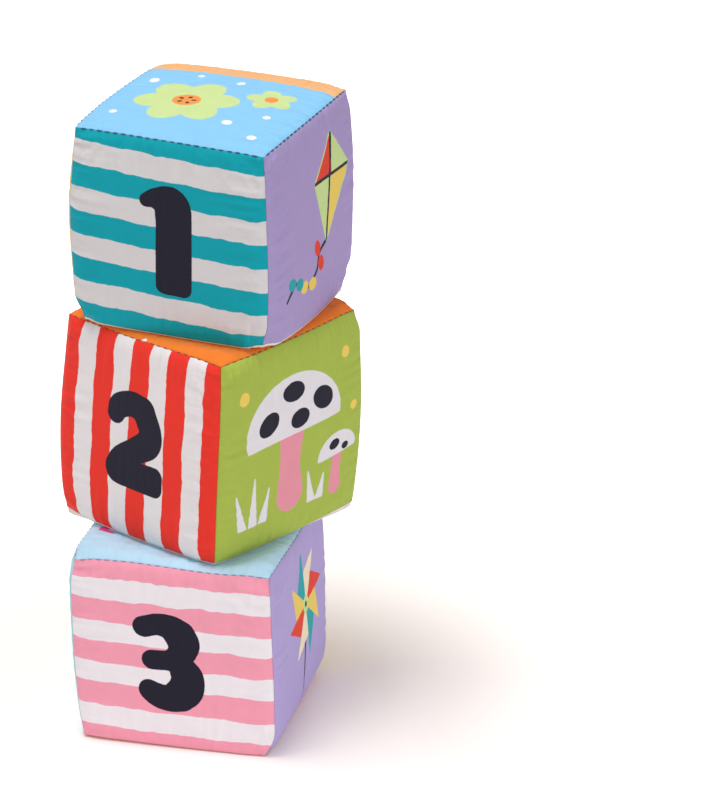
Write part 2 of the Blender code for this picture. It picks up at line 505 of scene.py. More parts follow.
class Artwork:
    """The designs printed on the blocks, in millimetres from the middle of a panel."""

    @staticmethod
    def one() -> Layer:
        """A stout figure 1."""
        flag = brush([(-9.2, 18.0, 3.2), (-4.8, 19.4, 4.6), (2.1, 17.0, 8.1), (3.3, 8.0, 8.1)])
        stem = polygon([(-0.9, 11.0), (7.5, 11.0), (7.1, -20.8), (-1.4, -20.4)], 3.9)
        crook = without(rounded_box((-5.4, 13.7), (2.2, 1.6), 0.1), disc((-7.6, 12.1), 2.8))
        return Layer(NAVY_INK, union(flag, stem, crook))

    @staticmethod
    def two() -> Layer:
        """A stout figure 2."""
        bowl = brush([(-10.5, 10.9, 4.7), (-8.4, 15.2, 5.7), (-1.4, 18.0, 6.0), (5.2, 16.6, 6.7)])
        crown = brush([(5.2, 16.6, 6.7), (9.5, 7.6, 6.5), (8.2, 1.4, 6.8), (1.2, -3.8, 6.0)])
        neck = brush([(1.2, -3.8, 6.0), (-5.6, -10.2, 7.0), (-8.2, -14.8, 7.3)])
        foot = polygon([(-8.0, -13.4), (12.4, -13.0), (12.4, -18.2), (-8.0, -17.7)], 4.5)
        return Layer(NAVY_INK, union(bowl, crown, neck, foot))

    @staticmethod
    def three() -> Layer:
        """A stout figure 3."""
        upper = brush([(-12.4, 14.0, 4.9), (-6.2, 15.6, 5.1), (-0.4, 14.5, 6.0), (3.6, 11.4, 7.2)])
        bowl = brush([(3.6, 11.4, 7.2), (5.3, 7.2, 7.1), (4.8, 3.4, 6.2)])
        arm = brush([(-9.0, -1.5, 4.8), (-3.0, -1.4, 4.8), (3.0, -1.5, 4.8)])
        lower = brush([(5.2, -6.0, 6.6), (6.5, -9.4, 7.4), (5.9, -14.0, 7.9), (3.2, -16.9, 7.5)])
        tail = brush([(3.2, -16.9, 7.5), (-1.5, -19.0, 5.8), (-7.0, -18.0, 5.6), (-11.0, -15.9, 4.9)])
        crooks = union(
            without(rounded_box((-2.6, 4.2), (1.6, 1.5), 0.1), disc((-4.1, 5.7), 2.4)),
            without(rounded_box((-1.2, -7.0), (1.2, 1.2), 0.1), disc((-2.4, -8.1), 1.9)),
        )
        return Layer(NAVY_INK, union(upper, bowl, arm, lower, tail, crooks))

    @staticmethod
    def striped(ground: str, pale: str, figure: Layer, bands: Bands) -> Print:
        """Pale bands on a colour, under a figure."""
        return Print(ground, (Layer(pale, bands), figure))

    @staticmethod
    def flower() -> Print:
        """A pale flower and small dots on sky blue, with an orange border at the back."""
        border = Bands(45, first=-4, band=18.5, gap=200, seed=71)
        bloom, small = (-9.0, -6.0), (24.0, 9.0)
        dots = [(17, -22, 2.3), (30, -10, 1.8), (-33, 14, 2.2), (4, 22, 2.0)]
        dots += [(-34, -27, 1.8), (33, -32, 2.2), (-16, 25, 1.6)]
        return Print(
            "8ecdf6",
            (
                Layer("f5b87e", border),
                Layer(LIME_INK, petals(bloom, 6, 12.5, (10.5, 8.2), 15)),
                Layer(LIME_INK, petals(small, 5, 6.0, (5.2, 4.2), 40)),
                Layer(ORANGE_INK, union(disc(bloom, 6.2), disc(small, 3.0))),
                Layer(NAVY_INK, petals(bloom, 5, 3.2, (1.3, 0.8), 10)),
                Layer("f4f5f2", discs(dots)),
            ),
        )

    @staticmethod
    def kite() -> Print:
        """A four-panelled kite with a bowed tail, on purple."""
        top, left, foot, right = (17.0, 33.0), (0.0, 15.0), (11.0, -13.0), (33.0, 14.0)
        middle = (16.2, 14.6)
        tail = [(11, -13), (3, -17), (0, -24), (-10, -28), (-22, -22), (-31, -27)]
        bows = [
            ((3.2, -18.0), 115, RED_INK),
            ((-8.5, -27.6), 170, YELLOW_INK),
            ((-22.0, -22.2), 160, TEAL_INK),
        ]
        layers = [
            Layer(NAVY_INK, brush([(x, y, 0.9) for x, y in tail])),
            Layer(LIME_INK, polygon([top, right, foot, left], 1.0)),
            Layer(RED_INK, polygon([top, left, middle])),
            Layer(YELLOW_INK, polygon([foot, right, middle])),
            Layer(NAVY_INK, union(polygon([top, foot], 0.8), polygon([left, right], 0.8))),
        ]
        for place, turn, colour in bows:
            wings = (ellipse(beside(place, turn, reach), (4.0, 2.9), turn) for reach in (4.4, -4.4))
            layers.append(Layer(colour, union(*wings)))
        return Print("b09cce", tuple(layers))

    @staticmethod
    def toadstools() -> Print:
        """A large and a small spotted toadstool on grass green."""
        cap = overlap(ellipse((-2, 8), (29, 23)), polygon([(-40, 1), (40, 5), (40, 50), (-40, 50)]))
        small_edge = polygon([(0, -17), (50, -15), (50, 10), (0, 10)])
        caps = union(cap, overlap(ellipse((26, -15), (12, 10)), small_edge))
        marks = [(-17, 12, 6.5, 5.0, 30), (-2, 23, 6.6, 4.6, -5), (2, 9.5, 5.6, 4.4, 10)]
        marks += [(16, 15, 6.4, 5.2, -30), (24, -10.5, 3.2, 2.4, 10), (31, -13.5, 2.2, 1.8, -20)]
        dark_spots = union(*(ellipse((x, y), (wide, high), turn) for x, y, wide, high, turn in marks))
        stems = union(
            brush([(-3, 3, 7.0), (-3.6, -12, 6.2), (-3, -25, 8.2)]),
            brush([(26, -17, 3.0), (25.6, -26, 3.0), (26, -31, 3.8)]),
        )
        grass = [(-32, -4, 17), (-26, 1, 22), (-20, 4, 15), (11, -3, 15), (16, 2, 11)]
        blades = (
            polygon([(x - 2.2, -33), (x + 2.2, -33), (x + lean, -33 + tall)], 0.4)
            for x, lean, tall in grass
        )
        return Print(
            "adbf50",
            (
                Layer(WHITE_INK, union(*blades)),
                Layer(PINK_INK, stems),
                Layer(WHITE_INK, caps),
                Layer(NAVY_INK, overlap(dark_spots, caps)),
                Layer(YELLOW_INK, discs([(-33, 29, 3.2), (31, 31, 2.6), (36, 4, 2.2)])),
            ),
        )

    @staticmethod
    def pinwheel() -> Print:
        """An eight-bladed pinwheel on a stick, on lilac."""
        centre = (3.0, 8.0)
        layers = [Layer(NAVY_INK, polygon([centre, (-5, -37)], 1.0))]
        colours = [RED_INK, CREAM_INK, TEAL_INK, YELLOW_INK]
        for number in range(8):
            turn = 45 * number + 8
            blade = [centre, beside(centre, turn, 25), beside(centre, turn + 42, 15)]
            layers.append(Layer(colours[number % 4], polygon(blade, 0.5)))
        layers.append(Layer(LIME_INK, disc(centre, 4.2)))
        layers.append(Layer(NAVY_INK, disc(centre, 1.4)))
        return Print("b7a6da", tuple(layers))

    @staticmethod
    def leaves() -> Print:
        """Pairs of bright pink leaves scattered on pale blue."""
        places = [(-31, 28, 35), (-40, -15, 4), (-12, 8, 12), (31, -8, 60), (33, 22, -50), (5, 32, 15)]
        pairs = []
        for x, y, turn in places:
            for spread in (-32, 32):
                angle = turn + spread
                pairs.append(ellipse(beside((x, y), angle, 4.6), (4.6, 2.0), angle))
        return Print("bbdff4", (Layer("e0559a", union(*pairs)),))

    @staticmethod
    def specks() -> Print:
        """A few small white splashes on strong orange."""
        return Print("f7822c", (Layer("fbf3ea", spots(24, 1.5, reach=60, jitter=6.5, seed=5)),))

    @staticmethod
    def spotted(
        ground: str, ink: str, pitch: float, radius: float, seed: int, *extra: Layer
    ) -> Print:
        """Round spots on a plain colour, with any extra inks over them."""
        return Print(ground, (Layer(ink, spots(pitch, radius, jitter=1.0, seed=seed)), *extra))


@dataclass(frozen=True)
class PrintedCotton:
    """Plain-woven cotton, pigment printed: matt, with a faint weave and a soft bloom at its rim.

    The real threads lie about 0.3 mm apart, too fine to show, so the weave is drawn at
    thread_mm. Lengths that end in _mm are millimetres on the cloth.
    """

    roughness: float = 0.84
    specular: float = 0.2
    sheen: float = 0.06
    sheen_roughness: float = 0.45
    tone_low: float = 0.94
    tone_high: float = 1.04
    tone_scale: float = 0.09
    weave_hollow_shade: float = 0.955
    thread_mm: float = 0.75
    thread_depth_mm: float = 0.035
    crease_mm: float = 11.0
    crease_depth_mm: float = 0.4
    pucker_mm: float = 5.0
    pucker_length_mm: float = 26.0
    pucker_depth_mm: float = 3.5
    smooth_reach_mm: float = 24.0
    seam_reach_mm: float = 45.0
    ink_edge_mm: float = 0.14
    ink_bleed_mm: float = 0.12
    bleed_scale: float = 0.9

    def material(self, name: str, design: Print) -> bpy.types.Material:
        """Make the finish for one panel.

        Args:
            name: the panel's name.
            design: what is printed on it; its layers are read from the panel's attributes.

        Returns:
            The material.
        """
        material, shader = new_finish(f"{name}_printed_cotton", self.roughness)
        tree = material.node_tree
        places = self.cloth_places(tree)
        ink = self.inked_colour(tree, places, design)
        weave = self.weave(tree, places)
        # The weave darkens the colour between its threads, where its bump is low: painted shade in the
        # weave's hollows. The noise tone varies at random.
        shade = noise(tree, places, self.tone_scale, 3.0, 0.6)
        tone = ranged(tree, shade, self.tone_low, self.tone_high)
        both = worked(tree, "MULTIPLY", tone, ranged(tree, weave, self.weave_hollow_shade, 1.0))
        colour = add_node(tree, "ShaderNodeVectorMath", {0: ink, "Scale": both}, operation="SCALE")
        inputs = {
            "Base Color": colour,
            "Normal": self.relief(tree, places, weave),
            "Sheen Weight": self.sheen,
            "Sheen Roughness": self.sheen_roughness,
            "Specular IOR Level": self.specular,
        }
        feed(shader, inputs)
        return material

    def cloth_places(self, tree: bpy.types.NodeTree) -> bpy.types.Node:
        """Places on the flat cut, in millimetres, from the panel's own map."""
        flat = add_node(tree, "ShaderNodeUVMap", uv_map=Panel.MAP_NAME)
        span = Panel.MAP_SPAN / MM
        inputs = {"Vector": flat, "Scale": (span, span, 1), "Location": (-span / 2, -span / 2, 0)}
        return add_node(tree, "ShaderNodeMapping", inputs)

    def inked_colour(
        self, tree: bpy.types.NodeTree, places: bpy.types.Node, design: Print
    ) -> bpy.types.NodeSocket:
        """Lay the inks over the ground, each inside its own shape."""
        bleed = noise(tree, places, self.bleed_scale, 2.0)
        stray = ranged(tree, bleed, -self.ink_bleed_mm, self.ink_bleed_mm)
        ground = add_node(tree, "ShaderNodeRGB")
        ground.outputs[0].default_value = linear(design.ground)
        colour = ground.outputs[0]
        for number, layer in enumerate(design.layers):
            shape = add_node(tree, "ShaderNodeAttribute", attribute_name=Panel.layer_name(number))
            edge = worked(tree, "ADD", shape.outputs["Fac"], stray)
            cover = ranged(tree, edge, 1.0, 0.0, -self.ink_edge_mm, self.ink_edge_mm)
            colour = mixed(tree, cover, colour, linear(layer.colour))
        return colour

    def weave(self, tree: bpy.types.NodeTree, places: bpy.types.Node) -> bpy.types.Node:
        """Warp and weft that pass over each other, from 0 to 1."""
        inputs = {
            "Vector": places,
            "Scale": 2 * math.pi / 20 / self.thread_mm,
            "Distortion": 0.6,
            "Detail": 1.0,
            "Detail Scale": 0.4,
        }
        warp, weft = (
            add_node(tree, "ShaderNodeTexWave", inputs, bands_direction=way).outputs["Fac"]
            for way in ("X", "Y")
        )
        return worked(tree, "MULTIPLY", warp, weft)

    def relief(
        self, tree: bpy.types.NodeTree, places: bpy.types.Node, weave: bpy.types.Node
    ) -> bpy.types.Node:
        """Shallow creases and puckers, with the weave on top."""
        crease = noise(tree, places, 1 / self.crease_mm, 4.0, 0.55)
        normal = bump(tree, crease, 0.6, self.crease_depth_mm * MM)
        for across in ("X", "Y"):
            folds = self.puckers(tree, places, across)
            normal = bump(tree, folds, 0.6, self.pucker_depth_mm * MM, normal)
        return bump(tree, weave, 0.5, self.thread_depth_mm * MM, normal)

    def puckers(
        self, tree: bpy.types.NodeTree, places: bpy.types.Node, across: str
    ) -> bpy.types.Node:
        """Narrow folds that run in from two opposite seams and fade on their way.

        Args:
            tree: the material's node tree.
            places: places on the flat cut.
            across: the axis that the two seams lie across, "X" or "Y".

        Returns:
            The height of the folds, from -0.5 to 0.5.
        """
        wide, narrow = 1 / self.pucker_length_mm, 1 / self.pucker_mm
        squeeze = (wide, narrow, 1) if across == "X" else (narrow, wide, 1)
        drawn = add_node(tree, "ShaderNodeMapping", {"Vector": places, "Scale": squeeze})
        level = worked(tree, "SUBTRACT", noise(tree, drawn, 1.0, 1.0, 0.4), 0.5)
        parts = add_node(tree, "ShaderNodeSeparateXYZ", {0: places}).outputs
        away = worked(tree, "ABSOLUTE", parts[across])
        near = ranged(tree, away, 0.0, 1.0, self.smooth_reach_mm, self.seam_reach_mm, smooth=True)
        return worked(tree, "MULTIPLY", level, near)


@dataclass(frozen=True)
class OpenCellFoam:
    """Cut polyurethane foam: pale, dull and finely pitted, with painted shade darkening the middle of
    each pit.
    """

    colour: str = "efe9d8"
    pit_shade_colour: str = "c9bfa4"
    roughness: float = 0.95
    cell_mm: float = 0.9
    pit_depth_mm: float = 0.3

    def material(self) -> bpy.types.Material:
        """Make the finish."""
        material, shader = new_finish("open_cell_foam", self.roughness)
        tree = material.node_tree
        inputs = {"Vector": object_places(tree), "Scale": 1 / (self.cell_mm * MM)}
        cells = add_node(tree, "ShaderNodeTexVoronoi", inputs).outputs["Distance"]
        # Darker towards each cell's middle, where the pits sink: painted shade in the pits.
        shade = mixed(tree, cells, linear(self.pit_shade_colour), linear(self.colour))
        pits = bump(tree, cells, 0.7, self.pit_depth_mm * MM)
        feed(shader, {"Base Color": shade, "Normal": pits})
        return material


@dataclass(frozen=True)
class SpunThread:
    """Spun polyester sewing thread: softly glossy and ridged by its twist. It is coloured a dark tone of
    the cloth beside its seam, which paints the shade of the dimples the stitches pull into the seam as
    well as the thread.
    """

    colour: str
    roughness: float = 0.6
    tone_low: float = 0.75
    tone_high: float = 1.2
    twist_mm: float = 0.35
    ridge_mm: float = 0.1

    def material(self) -> bpy.types.Material:
        """Make the finish."""
        material, shader = new_finish(f"thread_and_seam_shade_{self.colour}", self.roughness)
        tree = material.node_tree
        fibres = noise(tree, object_places(tree), 1 / (self.twist_mm * MM), 2.0)
        # The colour follows the same noise as the ridges: lighter on them and darker in the twist's
        # grooves, which is painted shade.
        shade = ranged(tree, fibres, self.tone_low, self.tone_high)
        inputs = {0: linear(self.colour)[:3], "Scale": shade}
        dye_and_shade = add_node(tree, "ShaderNodeVectorMath", inputs, operation="SCALE")
        ridges = bump(tree, fibres, 0.5, self.ridge_mm * MM)
        feed(shader, {"Base Color": dye_and_shade, "Normal": ridges})
        return material


@dataclass(frozen=True)
class CoverCut:
    """How the cotton covers are cut, sewn and filled. Lengths are in metres."""

    edge: float = 90 * MM
    cloth: float = 0.8 * MM
    allowance: float = 5 * MM
    seam_clearance: float = 0.05 * MM
    solid_clearance: float = 0.15 * MM
    edge_roll: float = 8 * MM
    roll_power: float = 2.5
    side_crown: float = 0.7 * MM
    top_rise: float = 1.3 * MM
    top_crown: float = 2.3 * MM
    free_bow: float = 0.4 * MM
    pressed_rise: float = 1.25 * MM
    pressed_depth: float = 0.5 * MM
    freed_rise: float = 1.7 * MM
    freed_reach: float = 14 * MM
    freed_lift: float = 1.9 * MM
    corner_lift: float = 0.3
    lift_start: float = 0.55
    lift_span: float = 0.45
    lift_reach: float = 26 * MM
    corner_reach: float = 12 * MM
    foot_pull_rise: float = 0.25
    top_hold: float = 0.3
    foam_clearance: float = 0.3 * MM
    foam_roll: float = 6 * MM
    sway: float = 0.4 * MM
    sway_at_ends: float = 0.35
    sway_length: float = 70 * MM
    scallop: float = 0.12 * MM
    scallop_reach: float = 1.5 * MM
    scallop_change: float = 17 * MM
    pucker: float = 0.24 * MM
    pucker_length: float = 7.0 * MM
    pucker_reach: float = 7.0 * MM
    pucker_drift: float = 0.3
    pucker_stray: float = 31 * MM
    pucker_change: float = 36 * MM


@dataclass
class BlockForm:
    """Where one block stands, and how its seams and panels swell over the foam.

    Attributes:
        name: the block's body, and the start of its nodes' names.
        seed: picks its puckers and its unevenness.
        bow: how far the foam pushes its upright seams out, midway up them.
        side_rise: how far its side panels stand out from their seams.
        side_ease: the share of that rise that is lost at the top and the bottom.
        foot_roll: how far in from its bottom seams its underside curves down.
        left_bow: how much further out its left upright seams are pushed.
        head_pulls: how far its top corners are drawn in, from the front left one round by
            the right to the back left one.
        foot_pulls: the same at its bottom corners.
        foot_lifts: how much higher than even its bottom seam runs at the bottom corners.
        head_lifts: how much higher than even its top seam runs at the top corners.
        foot_tucks: how far its bottom seam is drawn under at the left, right, front and back.
        foot_swells: how far it swells out midway between the corners, in the same order.
        tuck_reaches: how far up from its bottom seam these two are felt, in the same order.
        cut: the sizes that all the covers share.
        above: the block that stands on it.
        below: the block that it stands on.
    """

    name: str
    seed: int
    bow: float
    side_rise: float
    side_ease: float
    foot_roll: float
    left_bow: float
    head_pulls: FourSizes
    foot_pulls: FourSizes
    foot_lifts: FourSizes
    head_lifts: FourSizes = (0.0, 0.0, 0.0, 0.0)
    foot_tucks: FourSizes = (0.0, 0.0, 0.0, 0.0)
    foot_swells: FourSizes = (0.0, 0.0, 0.0, 0.0)
    tuck_reaches: FourSizes = mm(14, 14, 14, 14)
    cut: CoverCut = field(default_factory=CoverCut)
    above: "BlockForm | None" = None
    below: "BlockForm | None" = None

    def __post_init__(self) -> None:
        """Read the block's place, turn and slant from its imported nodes."""
        front_low, front_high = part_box(f"{self.name}_front_panel")
        back_low, back_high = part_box(f"{self.name}_back_panel")
        bottom_low, bottom_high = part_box(f"{self.name}_bottom_panel")
        top_low, top_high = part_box(f"{self.name}_top_panel")
        facing = (front_low + front_high) - (back_low + back_high)
        self.turn = math.atan2(facing.x, -facing.y)
        self.fold = self.cut.solid_clearance * math.sqrt(2)
        self.base = bottom_low.z
        self.foot_rise = front_low.z - self.fold - self.base
        self.seam_span = front_high.z - front_low.z + 2 * self.fold
        under = (bottom_low + bottom_high) / 2
        over = (top_low + top_high) / 2
        rise = over.z - under.z
        self.slant = np.array([(over.x - under.x) / rise, (over.y - under.y) / rise])
        shift = self.slant * (under.z - self.base)
        self.foot = np.array([under.x - shift[0], under.y - shift[1]])

    @property
    def half(self) -> np.ndarray:
        """Half of the seam box along the block's own X, Y and Z."""
        return np.array([self.cut.edge, self.cut.edge, self.seam_span]) / 2

    @property
    def lifted(self) -> np.ndarray:
        """From the middle of the seam box to the block's foot."""
        return np.array([0, 0, self.half[2] + self.foot_rise])

    def half_along(self, way: Way) -> float:
        """Half of the seam box along one way."""
        return float(np.abs(np.array(way)) @ self.half)

    def halves(self, side_name: SideName) -> tuple[float, float]:
        """Half of a panel's width and half of its height, from seam to seam."""
        side = SIDES[side_name]
        return self.half_along(side.across), self.half_along(side.up)

    def insets(self, patch: Patch) -> Points:
        """How far in places on a panel lie from its upright seams, and from its other two."""
        half_across, half_up = self.halves(patch.side_name)
        return np.maximum([half_across - np.abs(patch.across), half_up - np.abs(patch.up)], 0)

    def shaped(self, points: Points) -> Points:
        """Move points of the plain seam box to where they lie on the soft, standing block."""
        cut = self.cut
        near = smooth_step(1 - (self.half - np.abs(points)) / cut.corner_reach)
        at_head = points[:, 2] > 0
        head_pull = self.cornerwise(points, self.head_pulls)
        pull = np.where(at_head, head_pull, self.cornerwise(points, self.foot_pulls))
        pulls = np.sign(points) * (pull * np.prod(near, axis=1))[:, None]
        pulls[:, 2] *= np.where(at_head, 1, cut.foot_pull_rise)
        drawn = points - pulls + self.bowed(points) + self.tucked(points)
        height = points[:, 2] / self.half[2]
        drawn[:, 2] += self.cornerwise(points, self.foot_lifts) * smooth_step(-height)
        drawn[:, 2] += self.cornerwise(points, self.head_lifts) * smooth_step(height)
        loose = 1 - np.clip(np.abs(points[:, 2]) / self.half[2], 0, 1) ** 4
        for axis in range(3):
            wave = cut.sway * ripple(points, cut.sway_length, self.seed + axis)
            sideways = cut.sway_at_ends + (1 - cut.sway_at_ends) * loose
            drawn[:, axis] += wave * (loose if axis == 2 else sideways)
        return self.stood(drawn + self.lifted)

    def tucked(self, points: Points) -> Points:
        """How far points near the foot are drawn under the block, or swell out."""
        share = np.clip(points / self.half, -1, 1)
        height = points[:, 2] + self.half[2]
        drawn = np.zeros_like(points)
        for axis in (0, 1):
            for far in (0, 1):
                number = 2 * axis + far
                mine = share[:, axis] > 0 if far else share[:, axis] <= 0
                felt = (1 - np.clip(height / self.tuck_reaches[number], 0, 1)) ** 2
                depth = self.foot_tucks[number] - self.foot_swells[number] * (1 - share[:, 1 - axis] ** 2)
                drawn[:, axis] -= np.where(mine, share[:, axis] * depth * felt, 0)
        return drawn

    def cornerwise(self, points: Points, sizes: FourSizes) -> np.ndarray:
        """Carry four corners' sizes evenly to the places that points are over."""
        right, rear = (np.clip(points / self.half, -1, 1)[:, :2] / 2 + 0.5).T
        front_left, front_right, back_right, back_left = sizes
        front = front_left + (front_right - front_left) * right
        back = back_left + (back_right - back_left) * right
        return front + (back - front) * rear

    def bowed(self, points: Points) -> Points:
        """How far the foam pushes points out, most where they are farthest from the corners."""
        cut = self.cut
        share = points / self.half
        square = np.minimum(share**2, 1)
        bow = self.bow * share
        bow[:, 0] += self.left_bow * np.minimum(share[:, 0], 0)
        bow[:, 0] *= 1 - square[:, 1] * square[:, 2]
        bow[:, 1] *= 1 - square[:, 0] * square[:, 2]
        bow *= 1 - cut.top_hold * smooth_step(share[:, 2:])
        midway = 1 - square[:, 0] * square[:, 1]
        if self.above is None:
            bow[:, 2] = cut.free_bow * np.maximum(share[:, 2], 0) ** 2 * midway
            return bow
        places = self.stood(points + self.lifted)
        free = self.above.outside_footprint(places, self.above.base)
        upper = smooth_step((share[:, 2] - cut.lift_start) / cut.lift_span)
        lift = smooth_step(free / cut.lift_reach) * upper
        bow[:, 2] = cut.freed_lift * lift * (cut.corner_lift + (1 - cut.corner_lift) * midway)
        return bow

    def stood(self, points: Points) -> Points:
        """Turn, slant and place points that are counted from the block's own foot."""
        cos, sin = math.cos(self.turn), math.sin(self.turn)
        turned = points.copy()
        turned[:, 0] = points[:, 0] * cos - points[:, 1] * sin
        turned[:, 1] = points[:, 0] * sin + points[:, 1] * cos
        turned[:, :2] += self.foot + points[:, 2:3] * self.slant
        turned[:, 2] += self.base
        return turned

    def outside_footprint(self, points: Points, level: float) -> np.ndarray:
        """How far points lie outside the block's square, at one height of the stack."""
        centre = self.foot + (level - self.base) * self.slant
        cos, sin = math.cos(self.turn), math.sin(self.turn)
        moved = points[:, :2] - centre
        local = np.stack([moved[:, 0] * cos + moved[:, 1] * sin, moved[:, 1] * cos - moved[:, 0] * sin])
        beyond = np.abs(local) - self.cut.edge / 2
        outside = np.hypot(*np.maximum(beyond, 0))
        return outside + np.minimum(beyond.max(axis=0), 0)

    def free_of_partner(self, patch: Patch) -> np.ndarray | None:
        """How far places on a pressed panel lie outside what presses it, or None if all do."""
        if patch.side_name is SideName.BOTTOM and self.below is None:
            return np.full_like(patch.across, -1.0)
        partner = {SideName.TOP: self.above, SideName.BOTTOM: self.below}.get(patch.side_name)
        if partner is None:
            return None
        places = self.stood(self.on_side(patch) + self.lifted)
        return partner.outside_footprint(places, float(places[:, 2].mean()))

    def rise(self, patch: Patch) -> np.ndarray:
        """How far a panel's outside stands out from the plane of its seams."""
        cut, side_name, across, up = self.cut, patch.side_name, patch.across, patch.up
        half_across, half_up = self.halves(side_name)
        inset_across, inset_up = self.insets(patch)
        reach = self.foot_roll if side_name is SideName.BOTTOM else cut.edge_roll
        rolled = self.roll(inset_across, reach) * self.roll(inset_up, reach)
        crown = np.maximum((1 - (across / half_across) ** 2) * (1 - (up / half_up) ** 2), 0)
        gathered = self.gathers(patch)
        free = self.free_of_partner(patch)
        if free is None and side_name is SideName.TOP:
            return cut.top_rise * rolled + cut.top_crown * crown + gathered
        if free is None:
            rise = self.side_rise * (1 - self.side_ease * (up / half_up) ** 2)
            return rise * rolled + cut.side_crown * crown + gathered
        full = cut.pressed_rise
        if side_name is SideName.BOTTOM:
            full = self.foot_rise + self.cornerwise(self.on_side(patch), self.foot_lifts)
        flat = np.minimum(full * rolled + cut.pressed_depth * crown, full)
        freed = smooth_step(free / cut.freed_reach)
        return flat + cut.freed_rise * freed * rolled + gathered * (free > 0)

    def roll(self, inset: np.ndarray, reach: float) -> np.ndarray:
        """Share of its rise that a panel has reached at a distance in from its seam."""
        return 1 - np.maximum(0, 1 - inset / reach) ** self.cut.roll_power

    def gathers(self, patch: Patch) -> np.ndarray:
        """Scallops between the stitches of the top seams, and loose puckers along every seam."""
        cut, side_name, across, up = self.cut, patch.side_name, patch.across, patch.up
        inset_across, inset_up = self.insets(patch)
        number = list(SideName).index(side_name)
        total = np.zeros_like(across)
        seams = [(inset_up, across, up > 0), (inset_up, across, up <= 0)]
        seams += [(inset_across, up, across > 0), (inset_across, up, across <= 0)]
        for place, (inset, along, mine) in enumerate(seams):
            seed = self.seed + 17 * number + 5 * place
            line = along[:, None]
            turns = along / cut.pucker_length + cut.pucker_drift * ripple(line, cut.pucker_stray, seed)
            strength = 0.5 + 0.5 * ripple(line, cut.pucker_change, seed + 1)
            loose = np.sin(2 * math.pi * turns) * strength * self.fade(inset, cut.pucker_reach)
            total += np.where(mine, cut.pucker * loose, 0)
            if side_name is SideName.TOP or (side_name is not SideName.BOTTOM and place == 0):
                arch = 0.5 - 0.5 * np.cos(2 * math.pi * along / StitchRow.pitch)
                uneven = 1 + 0.5 * ripple(line, cut.scallop_change, seed + 2)
                scallops = cut.scallop * arch * uneven * self.fade(inset, cut.scallop_reach)
                total += np.where(mine, scallops, 0)
        return total

    @staticmethod
    def fade(inset: np.ndarray, reach: float) -> np.ndarray:
        """0 at a seam, 1 at a reach in from it, and less and less beyond."""
        depth = inset / reach
        return depth * np.exp(1 - depth)

    def on_side(self, patch: Patch, height: np.ndarray | float = 0.0) -> Points:
        """Places in the block's own axes, from places on a panel and heights over its seams."""
        side = SIDES[patch.side_name]
        reach = self.half_along(side.outward) + height
        plain = np.outer(patch.across, side.across) + np.outer(patch.up, side.up)
        return plain + np.outer(reach, side.outward)


